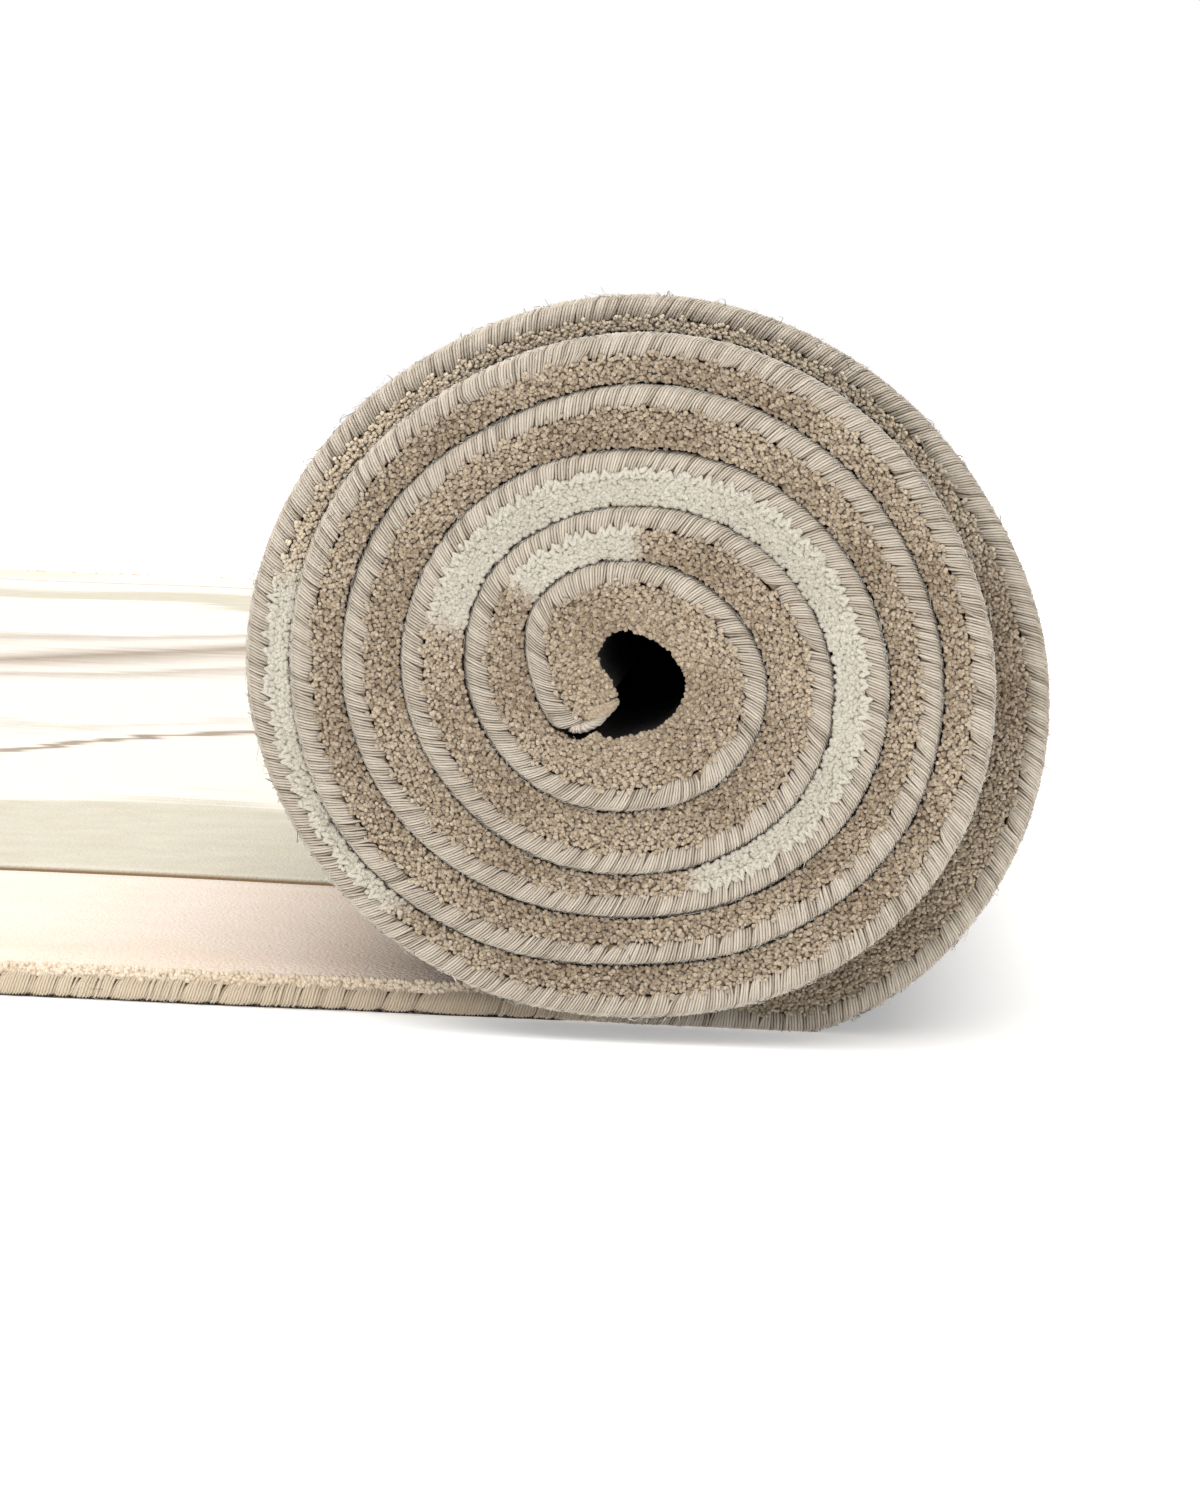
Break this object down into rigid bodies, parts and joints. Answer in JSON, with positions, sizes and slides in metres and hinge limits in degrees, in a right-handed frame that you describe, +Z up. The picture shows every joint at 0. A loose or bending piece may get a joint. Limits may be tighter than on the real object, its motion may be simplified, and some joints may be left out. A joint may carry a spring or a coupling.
{
  "type": "rolled up carpet",
  "caption": "Tufted wool carpet wound pile inwards into a roll with a small hollow core, its last stretch lying flat on the floor, with oversewn edges.",
  "frame": {"origin": "middle of the underside of the whole thing, on the floor", "axes": "+Y along the roll, away from its nearer open end; +Z up; the loose end runs out towards -X"},
  "size_m": [0.8362, 2.028, 0.1801],
  "materials": {
    "pile": "matt tufted wool pile in beige, cream and grey-brown",
    "backing": "matt dark woven cotton cloth, glued on",
    "binding": "matt light greige wool yarn, oversewn"
  },
  "bodies": {
    "root": {"carpet": "pile", "backing": "backing", "binding_front": "binding", "binding_rear": "binding", "binding_outer": "binding", "binding_inner": "binding"}
  },
  "joints": []
}
